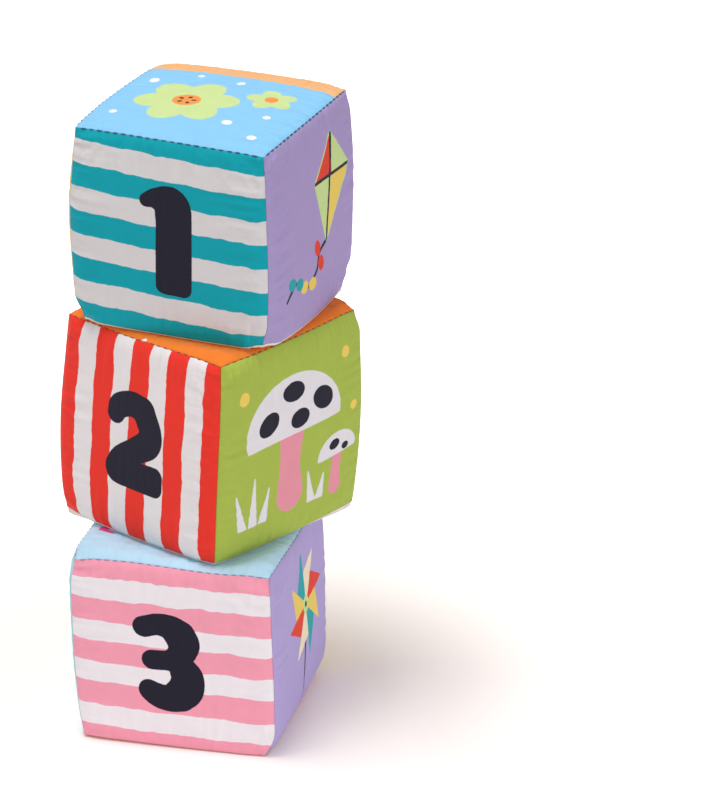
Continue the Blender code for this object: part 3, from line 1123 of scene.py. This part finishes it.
@dataclass
class SettledCover:
    """A block's whole cover, settled by cloth simulation over its foam.

    The cover is sewn shut and blown out by the foam's pressure. Its seams are shorter
    than the panels between them, so they draw the cloth in, and it is held where
    another block or the table presses it. Lengths are in metres unless they say so.
    """

    form: BlockForm
    cells: int = 44
    frames: int = 18
    scale: float = 10.0
    pressure: float = 2.0
    seam_shrink: float = 0.014
    seam_width: float = 4 * MM
    held: float = 0.3
    most: float = 0.8 * MM

    def __post_init__(self) -> None:
        count = self.cells + 1
        self.shifts = {side_name: np.zeros((count, count, 3)) for side_name in SideName}

    def shares(self) -> Points:
        """Where the vertices of any side lie, from -1 to 1 across it and up it."""
        line = np.linspace(-1, 1, self.cells + 1)
        return np.stack([grid.ravel() for grid in np.meshgrid(line, line, indexing="ij")])

    def patch(self, side_name: SideName) -> Patch:
        """Where the vertices of one side lie on its panel."""
        half_across, half_up = self.form.halves(side_name)
        share_across, share_up = self.shares()
        return Patch(side_name, share_across * half_across, share_up * half_up)

    def lattice(self, side_name: SideName) -> tuple[Points, Points]:
        """Places of one side's vertices, and their numbers along the block's own axes."""
        form, side, patch = self.form, SIDES[side_name], self.patch(side_name)
        share_across, share_up = self.shares()
        on_seam = np.maximum(np.abs(share_across), np.abs(share_up)) > 0.9999
        height = np.where(on_seam, 0, form.rise(patch))
        shares = np.outer(share_across, side.across) + np.outer(share_up, side.up) + side.outward
        keys = np.rint((shares + 1) / 2 * self.cells).astype(int)
        return form.shaped(form.on_side(patch, height)), keys

    def weights(self, side_name: SideName) -> tuple[np.ndarray, np.ndarray]:
        """How firmly each vertex of a side is held, and how much its cloth shrinks."""
        patch = self.patch(side_name)
        inset = self.form.insets(patch).min(axis=0)
        free = self.form.free_of_partner(patch)
        held = np.full_like(patch.across, self.held)
        if free is not None:
            held = np.where(free < 0, 1.0, held)
        return held, np.clip(1 - inset / self.seam_width, 0, 1)

    def settle(self) -> None:
        """Run the simulation and keep how far each vertex of each side has moved."""
        places, keys = zip(*(self.lattice(side_name) for side_name in SideName))
        held, shrunk = zip(*(self.weights(side_name) for side_name in SideName))
        _, first, number = np.unique(np.vstack(keys), axis=0, return_index=True, return_inverse=True)
        number = number.ravel()
        start = np.vstack(places)[first]
        grips, draws = np.zeros((2, len(first)))
        np.maximum.at(grips, number, np.concatenate(held))
        np.maximum.at(draws, number, np.concatenate(shrunk))
        count = self.cells + 1
        numbers = number.reshape(len(SideName), count, count)
        moved = self.run(self.cover_mesh(start, numbers), grips, draws) - start
        length = np.linalg.norm(moved, axis=1, keepdims=True) + 1e-12
        moved *= self.most * np.tanh(length / self.most) / length
        for side_name, own in zip(SideName, numbers):
            self.shifts[side_name] = moved[own]
        LOG.info("%s cover settled: moved %.2f mm at most", self.form.name, 1e3 * length.max())

    def cover_mesh(self, start: Points, numbers: np.ndarray) -> bpy.types.Mesh:
        """One closed mesh of all six sides, enlarged, because cloth settles better so."""
        quads = [grid_quads(own) for own in numbers]
        mesh = bpy.data.meshes.new("cover")
        mesh.from_pydata((start * self.scale).tolist(), [], np.vstack(quads).tolist())
        return mesh

    def run(self, mesh: bpy.types.Mesh, grips: np.ndarray, draws: np.ndarray) -> Points:
        """Simulate a cover and give back where its vertices end."""
        cover = new_object("cover", mesh)
        for name, values in (("held", grips), ("seam", draws)):
            group = cover.vertex_groups.new(name=name)
            for level in np.unique(values.round(3)):
                group.add(np.flatnonzero(values.round(3) == level).tolist(), float(level), "REPLACE")
        cloth = cover.modifiers.new("cloth", "CLOTH")
        settings = cloth.settings
        settings.quality = 6
        settings.mass = 0.1
        settings.tension_stiffness = 20
        settings.compression_stiffness = 20
        settings.shear_stiffness = 6
        settings.bending_stiffness = 0.4
        settings.use_pressure = True
        settings.uniform_pressure_force = self.pressure
        settings.vertex_group_mass = "held"
        settings.pin_stiffness = 1.0
        settings.vertex_group_shrink = "seam"
        settings.shrink_min = 0.0
        settings.shrink_max = self.seam_shrink
        settings.effector_weights.gravity = 0
        cloth.point_cache.frame_start = 1
        cloth.point_cache.frame_end = self.frames
        scene = bpy.context.scene
        for step in range(1, self.frames + 1):
            scene.frame_set(step)
        evaluated = cover.evaluated_get(bpy.context.evaluated_depsgraph_get())
        ends = np.zeros(3 * len(mesh.vertices))
        evaluated.data.vertices.foreach_get("co", ends)
        bpy.data.objects.remove(cover)
        bpy.data.meshes.remove(mesh)
        scene.frame_set(1)
        return ends.reshape(-1, 3) / self.scale

    def shift(self, patch: Patch) -> Points:
        """How far the cloth has moved at places on a panel, by smooth interpolation."""
        half_across, half_up = self.form.halves(patch.side_name)
        along, aside = self.spread(patch.across / half_across), self.spread(patch.up / half_up)
        shifts = self.shifts[patch.side_name]
        return np.einsum("pi,pj,ijk->pk", along, aside, shifts, optimize=True)

    def spread(self, share: np.ndarray) -> np.ndarray:
        """Cubic weights that carry values on the lattice's lines to places between them."""
        spot = np.clip((share + 1) / 2, 0, 1) * self.cells
        distance = np.abs(spot[:, None] - np.arange(self.cells + 1))
        near = 1 - 2.5 * distance**2 + 1.5 * distance**3
        far = 2 - 4 * distance + 2.5 * distance**2 - 0.5 * distance**3
        weights = np.where(distance < 1, near, np.where(distance < 2, far, 0))
        return weights / weights.sum(axis=1, keepdims=True)


@dataclass
class SoftBlock:
    """One block of the stack: its foam, its six panels and its stitches.

    Attributes:
        form: where it stands and how it swells.
        prints: the design on each of its panels.
        row: the stitches round its top.
    """

    form: BlockForm
    prints: dict[SideName, Print]
    row: "StitchRow"

    def __post_init__(self) -> None:
        """Lay the cover ready to be settled."""
        self.cover = SettledCover(self.form)

    @property
    def name(self) -> str:
        """The block's body."""
        return self.form.name

    def make(self, finishes: "Finishes") -> None:
        """Build the block's foam, panels and stitches, and set them on its body."""
        self.cover.settle()
        foam = self.foam(finishes.foam)
        for side_name in SideName:
            Panel(self, side_name).make(finishes.cotton, foam)
        self.stitches()

    def foam(self, material: bpy.types.Material) -> bpy.types.Object:
        """The foam cube inside the cover, with its edges pressed back by the allowances."""
        form, cut = self.form, self.form.cut
        mesh_tool = bmesh.new()
        bmesh.ops.create_cube(mesh_tool, size=2)
        bmesh.ops.subdivide_edges(mesh_tool, edges=mesh_tool.edges[:], cuts=19, use_grid_fill=True)
        steps = np.array([vert.co[:] for vert in mesh_tool.verts])
        inset = (cut.allowance + 2 * cut.foam_clearance) / math.sqrt(2)
        plain = steps * (form.half - inset)
        moved = np.zeros_like(plain)
        depth = cut.cloth + 2 * cut.foam_clearance
        for side_name, side in SIDES.items():
            on_side = steps @ np.array(side.outward) > 0.999
            patch = Patch(side_name, plain @ np.array(side.across), plain @ np.array(side.up))
            edge_in = form.insets(patch).min(axis=0)
            swell = on_side * smooth_step((edge_in - inset) / cut.foam_roll)
            reach = inset + form.rise(patch) - depth
            plain += np.outer(swell * reach, side.outward)
            moved += swell[:, None] * self.cover.shift(patch)
        for vert, place in zip(mesh_tool.verts, form.shaped(plain) + moved):
            vert.co = place
        mesh = bpy.data.meshes.new(f"{self.name}_foam")
        mesh_tool.to_mesh(mesh)
        mesh_tool.free()
        mesh.shade_smooth()
        piece = self.add_piece(mesh, material, "foam")
        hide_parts(f"{self.name}_foam_core")
        return piece

    def add_piece(
        self, mesh: bpy.types.Mesh, material: bpy.types.Material, slot: str | None
    ) -> bpy.types.Object:
        """Put a finished mesh in the scene, riding on the block."""
        mesh.materials.clear()
        mesh.materials.append(material)
        piece = new_object(mesh.name, mesh)
        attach(piece, self.name)
        LOG.info("%s: %d faces", piece.name, len(mesh.polygons))
        return piece

    def stitches(self) -> bpy.types.Object:
        """Lockstitches along the four seams of the top panel, in a dark colour that paints the shade of
        the seam's dimples as well as the thread.
        """
        row = self.row
        reach = row.pitch * math.floor((self.form.half[0] - row.end_gap) / row.pitch)
        steps = np.linspace(-reach, reach, 60)
        wall = np.full_like(steps, self.form.half[0])
        verts, edges = [], []
        for across, up in ((steps, -wall), (wall, steps), (-steps, wall), (-wall, -steps)):
            start, patch = len(verts), Patch(SideName.TOP, across, up)
            seam = self.form.on_side(patch)
            proud = seam + row.proud * np.where(np.abs(seam) > self.form.half - 1e-9, np.sign(seam), 0)
            line = self.form.shaped(proud) + self.cover.shift(patch)
            verts += line.tolist()
            edges += [(start + step, start + step + 1) for step in range(len(steps) - 1)]
        path = bpy.data.meshes.new(f"{self.name}_seam_path")
        path.from_pydata(verts, edges, [])
        thread = SpunThread(row.colour).material()
        return self.add_piece(row.along(path, thread, f"{self.name}_top_stitches"), thread, None)


@dataclass(frozen=True)
class StitchRow:
    """A row of lockstitches, sunk in the seam so far that only their backs show. Their colour is a dark
    tone of the cloth beside the seam: painted shade of the dimples the stitches pull in, along with the
    thread.

    Lengths are in metres.
    """

    colour: str
    radius: float
    proud: float
    pitch: float = 3.7 * MM
    length: float = 3.3 * MM
    end_gap: float = 3 * MM
    seed: int = 4

    def tree(self) -> bpy.types.NodeTree:
        """Geometry nodes that set stitches along a path, with named inputs for their sizes."""
        tree = bpy.data.node_groups.new("stitch_row", "GeometryNodeTree")
        sockets = [
            ("Geometry", "OUTPUT", "Geometry"),
            ("Geometry", "INPUT", "Geometry"),
            ("Pitch", "INPUT", "Float"),
            ("Length", "INPUT", "Float"),
            ("Radius", "INPUT", "Float"),
            ("Seed", "INPUT", "Int"),
            ("Thread", "INPUT", "Material"),
        ]
        for name, way, kind in sockets:
            tree.interface.new_socket(name, in_out=way, socket_type=f"NodeSocket{kind}")
        given = add_node(tree, "NodeGroupInput").outputs
        path = add_node(tree, "GeometryNodeMeshToCurve", {"Mesh": given["Geometry"]})
        spacing = {"Curve": path, "Length": given["Pitch"]}
        even = add_node(tree, "GeometryNodeResampleCurve", spacing, mode="LENGTH")
        bead = add_node(tree, "GeometryNodeMeshUVSphere", {"Segments": 8, "Rings": 6, "Radius": 1.0})
        half_length = worked(tree, "MULTIPLY", given["Length"], 0.5)
        sizes = {"X": half_length, "Y": given["Radius"], "Z": given["Radius"]}
        size = add_node(tree, "ShaderNodeCombineXYZ", sizes)
        stitch = add_node(tree, "GeometryNodeTransform", {"Geometry": bead, "Scale": size})
        tangent = {"Vector": add_node(tree, "GeometryNodeInputTangent")}
        along = add_node(tree, "FunctionNodeAlignRotationToVector", tangent, axis="X")
        spread = {"Min": (0.82, 0.8, 0.8), "Max": (1.1, 1.15, 1.15), "Seed": given["Seed"]}
        uneven = add_node(tree, "FunctionNodeRandomValue", spread, data_type="FLOAT_VECTOR")
        laid = {"Points": even, "Instance": stitch, "Rotation": along, "Scale": uneven}
        placed = add_node(tree, "GeometryNodeInstanceOnPoints", laid)
        real = add_node(tree, "GeometryNodeRealizeInstances", {"Geometry": placed})
        finish = {"Geometry": real, "Material": given["Thread"]}
        dye_and_shade = add_node(tree, "GeometryNodeSetMaterial", finish)
        add_node(tree, "NodeGroupOutput", {"Geometry": dye_and_shade})
        return tree

    def along(
        self, path: bpy.types.Mesh, thread: bpy.types.Material, name: str
    ) -> bpy.types.Mesh:
        """Set the stitches along a path.

        Args:
            path: a mesh of edges that the stitches follow.
            thread: the stitches' finish.
            name: the name of the new mesh.

        Returns:
            A plain mesh of all the stitches.
        """
        holder = new_object(f"{name}_path", path)
        modifier = holder.modifiers.new("stitch_row", "NODES")
        modifier.node_group = self.tree()
        given = {"Pitch": self.pitch, "Length": self.length, "Radius": self.radius}
        given |= {"Seed": self.seed, "Thread": thread}
        for socket in modifier.node_group.interface.items_tree:
            if socket.in_out == "INPUT" and socket.name in given:
                modifier[socket.identifier] = given[socket.name]
        bpy.context.view_layer.update()
        evaluated = holder.evaluated_get(bpy.context.evaluated_depsgraph_get())
        mesh = bpy.data.meshes.new_from_object(evaluated)
        mesh.name = name
        mesh.shade_smooth()
        bpy.data.objects.remove(holder)
        return mesh


@dataclass
class Panel:
    """One cotton panel of a block: a fine cloth grid with its allowances turned in."""

    block: SoftBlock
    side_name: SideName
    cells: int = 120
    ring_places: tuple[float, ...] = (0.6 * MM, 1.6 * MM, 3.2 * MM, 5.0 * MM)

    MAP_NAME = "flat_cut"
    MAP_SPAN = 120 * MM

    @staticmethod
    def layer_name(number: int) -> str:
        """Name of the attribute that holds one ink's distances."""
        return f"ink_{number + 1}"

    @property
    def name(self) -> str:
        """The panel's name, as its node's."""
        return f"{self.block.name}_{self.side_name.value}_panel"

    def lines(self, half: float) -> np.ndarray:
        """Grid lines from seam to seam, a little closer together near the seams."""
        share = np.linspace(-1, 1, self.cells + 1)
        return half * (0.8 * share + 0.2 * np.sin(share * math.pi / 2))

    def numbers(self) -> np.ndarray:
        """Numbers of the grid's vertices, by line across and then by line up."""
        count = self.cells + 1
        return np.arange(count**2).reshape(count, count)

    def border(self) -> np.ndarray:
        """Numbers of the grid's border vertices, anticlockwise from the lower left."""
        last, numbers = self.cells, self.numbers()
        lower, right = numbers[:last, 0], numbers[last, :last]
        upper, left = numbers[last:0:-1, last], numbers[0, last:0:-1]
        return np.concatenate([lower, right, upper, left])

    def points(self) -> tuple[Points, Points]:
        """Work out the cloth's outside.

        Returns:
            Where each vertex lies in space, and where it lies on the flat cut.
        """
        form, cut = self.block.form, self.block.form.cut
        half_across, half_up = form.halves(self.side_name)
        fold = cut.seam_clearance * math.sqrt(2)
        lines = self.lines(half_across - fold), self.lines(half_up - fold)
        patch = Patch(self.side_name, *(grid.ravel() for grid in np.meshgrid(*lines, indexing="ij")))
        border = self.border()
        height = form.rise(patch)
        height[border] = 0
        flat = [np.stack([patch.across, patch.up], axis=1)]
        edge = flat[0][border]
        outward = np.sign(edge) * (np.abs(edge) > np.array([half_across, half_up]) - 1.01 * fold)
        moved = [self.block.cover.shift(patch)]
        plain = [form.on_side(patch, height)]
        for place in self.ring_places:
            inset = (place + cut.seam_clearance) / math.sqrt(2)
            depth = (place - cut.seam_clearance) / math.sqrt(2)
            ring_across = edge[:, 0] * (half_across - inset) / (half_across - fold)
            ring_up = edge[:, 1] * (half_up - inset) / (half_up - fold)
            plain.append(form.on_side(Patch(self.side_name, ring_across, ring_up), -depth))
            moved.append(moved[0][border])
            flat.append(edge + outward * place)
        return form.shaped(np.vstack(plain)) + np.vstack(moved), np.vstack(flat)

    def faces(self) -> list[list[int]]:
        """Quads of the grid and of the rings round it, facing outwards."""
        numbers, inner = self.numbers(), self.border()
        quads = [grid_quads(numbers)]
        for ring in range(len(self.ring_places)):
            outer = numbers.size + ring * len(inner) + np.arange(len(inner))
            quads.append(np.stack([np.roll(inner, -1), inner, outer, np.roll(outer, -1)], axis=1))
            inner = outer
        return np.vstack(quads).tolist()

    def make(self, cotton: PrintedCotton, foam: bpy.types.Object) -> bpy.types.Object:
        """Build the panel, print it and set it on its block.

        Args:
            cotton: the cloth's finish.
            foam: the foam cube that the panel is stretched over; not used.

        Returns:
            The finished piece.
        """
        space, flat = self.points()
        mesh = bpy.data.meshes.new(self.name.replace("panel", "cotton"))
        mesh.from_pydata(space.tolist(), [], self.faces())
        mesh.shade_smooth()
        design = self.block.prints[self.side_name]
        for number, layer in enumerate(design.layers):
            values = layer.shape(flat / MM).astype(np.float32)
            ink = mesh.attributes.new(self.layer_name(number), "FLOAT", "POINT")
            ink.data.foreach_set("value", values)
        self.add_map(mesh, flat)
        material = cotton.material(self.name, design)
        piece = self.block.add_piece(mesh, material, MATERIAL_SLOTS[self.name])
        cut = self.block.form.cut
        thick = piece.modifiers.new("cloth_thickness", "SOLIDIFY")
        thick.thickness = cut.cloth
        thick.offset = -1
        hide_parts(self.name)
        size = tuple(2 * half + 2 * cut.allowance for half in self.block.form.halves(self.side_name))
        return piece

    def add_map(self, mesh: bpy.types.Mesh, flat: Points) -> None:
        """Give the mesh a map of the flat cut, which the weave and the creases follow."""
        layer = mesh.uv_layers.new(name=self.MAP_NAME)
        loops = np.zeros(len(mesh.loops), np.int32)
        mesh.loops.foreach_get("vertex_index", loops)
        places = flat[loops] / self.MAP_SPAN + 0.5
        layer.uv.foreach_set("vector", places.astype(np.float32).ravel())


MATERIAL_SLOTS: dict[str, str] = {
    part["node"]: part["material_slot"] for part in frame["record"]["subparts"]
}


class Finishes:
    """The finishes that the blocks share."""

    def __init__(self) -> None:
        """Make the finishes that don't change from panel to panel."""
        self.cotton = PrintedCotton()
        self.foam = OpenCellFoam().material()


class Stack:
    """The three blocks, from the top one down."""

    def __init__(self) -> None:
        """Lay out what each block has printed on it, and which block stands on which."""
        one = BlockForm(
            "block_1",
            seed=300,
            bow=1.1 * MM,
            side_rise=2.4 * MM,
            side_ease=0.6,
            foot_roll=0.7 * MM,
            left_bow=0.7 * MM,
            head_pulls=mm(0.3, 0.6, 0.8, 0.8),
            foot_pulls=mm(2.0, 2.8, 3.2, 0.8),
            foot_lifts=mm(-0.6, -0.5, 0.5, -0.3),
            head_lifts=mm(0.0, 0.0, 0.0, -1.6),
            foot_swells=mm(0.0, 3.0, 0.0, 0.0),
            tuck_reaches=mm(14, 20, 14, 14),
        )
        two = BlockForm(
            "block_2",
            seed=400,
            bow=1.9 * MM,
            side_rise=2.4 * MM,
            side_ease=0.0,
            foot_roll=0.7 * MM,
            left_bow=1.1 * MM,
            head_pulls=mm(0.0, 0.6, 1.5, 0.6),
            foot_pulls=mm(0.7, 0.8, 0.0, 0.7),
            foot_lifts=mm(-0.2, -0.5, -0.8, 0.0),
        )
        three = BlockForm(
            "block_3",
            seed=500,
            bow=0.3 * MM,
            side_rise=1.6 * MM,
            side_ease=0.3,
            foot_roll=5 * MM,
            left_bow=0.0,
            head_pulls=mm(1.3, 0.6, 0.6, 0.6),
            foot_pulls=mm(0.5, 0.5, 0.5, 0.5),
            foot_lifts=mm(-2.2, -2.95, -0.3, -0.5),
            foot_tucks=mm(2.6, 4.4, -1.0, 3.0),
            tuck_reaches=mm(40, 12, 14, 14),
        )
        one.below, two.above = two, one
        two.below, three.above = three, two
        one_bands = Bands(44.1, first=6.2, band=10.55, gap=10.7, seed=101, tilt=0.045)
        two_bands = Bands(45, first=10.9, band=9.95, gap=10.7, seed=202, across=False, count=4)
        three_bands = Bands(41.2, first=7.7, band=9.3, gap=10.5, seed=303, tilt=0.005, fan=0.00012)
        # Each stitch row's colour is a dark tone of the cloth at its seam: painted shade of the seam's
        # dimples, as well as the thread.
        self.blocks = [
            self.block(
                one,
                StitchRow("174a68", radius=0.46 * MM, proud=-0.17 * MM),
                # The band white is set a little darker on this top block than lower down: painted shade.
                Artwork.striped("08a6b4", "e3ddde", Artwork.one(), one_bands),
                Artwork.spotted("b9cf62", "f4f1e4", 15, 3.4, 21),
                Artwork.spotted("f6dca0", "ee6a45", 17, 3.8, 22, Layer("e8633f", disc((43, 42), 3.6))),
                Artwork.kite(),
                Artwork.flower(),
                Print("efe6e0"),
            ),
            self.block(
                two,
                StitchRow("8a3524", radius=0.34 * MM, proud=-0.16 * MM),
                # The band white is lighter here than on the top block: painted light bounced up from the
                # table.
                Artwork.striped("f5382b", "f1e9e9", Artwork.two(), two_bands),
                Artwork.spotted("8fd0ea", "f4f5f2", 14, 3.0, 23),
                Artwork.spotted("f5b54a", "fbeccb", 16, 3.4, 24),
                Artwork.toadstools(),
                Artwork.specks(),
                Print("efe6e0"),
            ),
            self.block(
                three,
                StitchRow("8a8fb5", radius=0.36 * MM, proud=-0.14 * MM),
                # The band white is lightest on this bottom block: painted light bounced up from the
                # table.
                Artwork.striped("fda3b8", "f8f0f4", Artwork.three(), three_bands),
                Artwork.spotted("f4cf5c", "f7f2e6", 15, 3.2, 25),
                Artwork.spotted("a8dde6", "e88ba6", 17, 3.6, 26),
                Artwork.pinwheel(),
                Artwork.leaves(),
                # The bottom's orange-red is set darker than the cloth's own e8623a: partly painted shade
                # under the block's foot.
                Print("d9482f"),
            ),
        ]

    @staticmethod
    def block(form: BlockForm, row: StitchRow, *designs: Print) -> SoftBlock:
        """One block, with a design for each side in the order of SideName."""
        return SoftBlock(form, dict(zip(SideName, designs)), row)

    def make(self, finishes: Finishes) -> None:
        """Build all three blocks."""
        for block in self.blocks:
            block.make(finishes)


@dataclass(frozen=True)
class Studio:
    """The pale floor, the soft lights and the camera. Lengths are in metres."""

    camera_place: Way = (0.73455, -2.7178, 1.37805)
    camera_azimuth: float = 13.77
    camera_elevation: float = 23.60
    focal_length_mm: float = 319.94
    sensor_width_mm: float = 36.0
    sky_level: float = 0.43
    floor_span: float = 12.0
    floor_colour: str = "f9f7f7"
    dim_floor_colour: str = "a3a3a3"
    bright_radius: float = 0.42
    dim_radius: float = 1.0
    # The floor's camera-only glow is least and tinted warm within shaded_radius and full white beyond
    # glowing_radius: painted warm shade in the shadow near the stack, and painted light over the shadow
    # farther out.
    shaded_radius: float = 0.1
    glowing_radius: float = 0.34
    painted_shadow_glow: float = 0.12
    painted_shadow_tint: FourSizes = (1.0, 0.58, 0.38, 1.0)

    def make(self) -> None:
        """Set up the floor, the light and the camera."""
        self.floor()
        self.sky()
        self.lamp("key", azimuth=-68, elevation=79, distance=2.2, size=0.72, level=0.56)
        self.lamp("fill", azimuth=78, elevation=8, distance=2.4, size=1.4, level=0.27)
        self.lamp("front", azimuth=-8, elevation=25, distance=2.4, size=1.6, level=0.17)
        self.camera()

    def camera(self) -> None:
        """A long lens, in front of the stack and above it, aimed to its right."""
        data = bpy.data.cameras.new("camera")
        data.lens = self.focal_length_mm
        data.sensor_width = self.sensor_width_mm
        data.clip_end = 50
        camera = new_object("camera", data)
        self.place(camera, self.camera_place, self.direction(self.camera_azimuth, self.camera_elevation))
        bpy.context.scene.camera = camera

    @staticmethod
    def place(thing: bpy.types.Object, place: Vector | Way, back: Vector) -> None:
        """Set a lamp or the camera at a place, with a way straight behind it."""
        thing.location = place
        thing.rotation_mode = "QUATERNION"
        thing.rotation_quaternion = (-back).to_track_quat("-Z", "Y")

    @staticmethod
    def direction(azimuth: float, elevation: float) -> Vector:
        """The way from the stack towards an azimuth and elevation in degrees."""
        turn, climb = math.radians(azimuth), math.radians(elevation)
        flat = math.cos(climb)
        return Vector((math.sin(turn) * flat, -math.cos(turn) * flat, math.sin(climb)))

    def lamp(
        self, name: str, azimuth: float, elevation: float, distance: float, size: float, level: float
    ) -> None:
        """A square soft lamp, aimed at the middle of the stack.

        Args:
            name: the lamp's name.
            azimuth: the way to it, in degrees from the front towards the right.
            elevation: its height over the floor, in degrees.
            distance: how far away it stands.
            size: the length of its edges.
            level: how bright a white card looks that faces it, where 1 is white.
        """
        data = bpy.data.lights.new(name, "AREA")
        data.size = size
        data.energy = level * math.pi**2 * (distance**2 + (size / 2) ** 2)
        low, high = CAD_BOX
        back = self.direction(azimuth, elevation)
        self.place(new_object(name, data), (low + high) / 2 + back * distance, back)

    def sky(self) -> None:
        """A world that is plain white to the eye and lights the stack evenly."""
        world = bpy.data.worlds.new("studio")
        bpy.context.scene.world = world
        world.use_nodes = True
        tree = world.node_tree
        tree.nodes.clear()
        level = ranged(tree, self.seen(tree), self.sky_level, 1.0)
        inputs = {"Color": (1, 1, 1, 1), "Strength": level}
        light = add_node(tree, "ShaderNodeBackground", inputs)
        add_node(tree, "ShaderNodeOutputWorld", {"Surface": light})

    @staticmethod
    def seen(tree: bpy.types.NodeTree) -> Source:
        """1 for a ray from the camera, a mirror or a lens, and 0 for the rest."""
        rays = add_node(tree, "ShaderNodeLightPath").outputs
        total = rays["Is Camera Ray"]
        for name in ("Is Glossy Ray", "Is Transmission Ray"):
            total = worked(tree, "MAXIMUM", total, rays[name])
        return total

    def floor(self) -> None:
        """A white table that keeps the stack's shadow near it. To the camera it glows: faintly and tinted
        warm close to the stack, which paints a warm tint into the shadow there, and more and more farther
        out, which paints the outer shadow away.
        """
        half = self.floor_span / 2
        mesh = bpy.data.meshes.new("floor")
        corners = [(-half, -half, 0), (half, -half, 0), (half, half, 0), (-half, half, 0)]
        mesh.from_pydata(corners, [], [(0, 1, 2, 3)])
        floor = new_object("floor", mesh)
        material, shader = new_finish("white_table", 0.9)
        tree = material.node_tree
        away = add_node(tree, "ShaderNodeVectorMath", {0: object_places(tree)}, operation="LENGTH")
        far_off = away.outputs["Value"]
        dim = ranged(tree, far_off, 0.0, 1.0, self.bright_radius, self.dim_radius, smooth=True)
        clear = ranged(tree, far_off, 0.0, 1.0, self.shaded_radius, self.glowing_radius, smooth=True)
        glow = ranged(tree, clear, self.painted_shadow_glow, 1.0)
        inputs = {
            "Specular IOR Level": 0.1,
            "Base Color": mixed(tree, dim, linear(self.floor_colour), linear(self.dim_floor_colour)),
            "Emission Strength": worked(tree, "MULTIPLY", glow, self.seen(tree)),
            "Emission Color": mixed(tree, clear, self.painted_shadow_tint, (1, 1, 1, 1)),
        }
        feed(shader, inputs)
        mesh.materials.append(material)


def main() -> None:
    """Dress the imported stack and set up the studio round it."""
    logging.basicConfig(level=logging.INFO, format="%(name)s: %(message)s")
    bpy.context.scene.view_settings.view_transform = "Standard"
    Stack().make(Finishes())
    Studio().make()


if __name__ == "__main__":
    main()
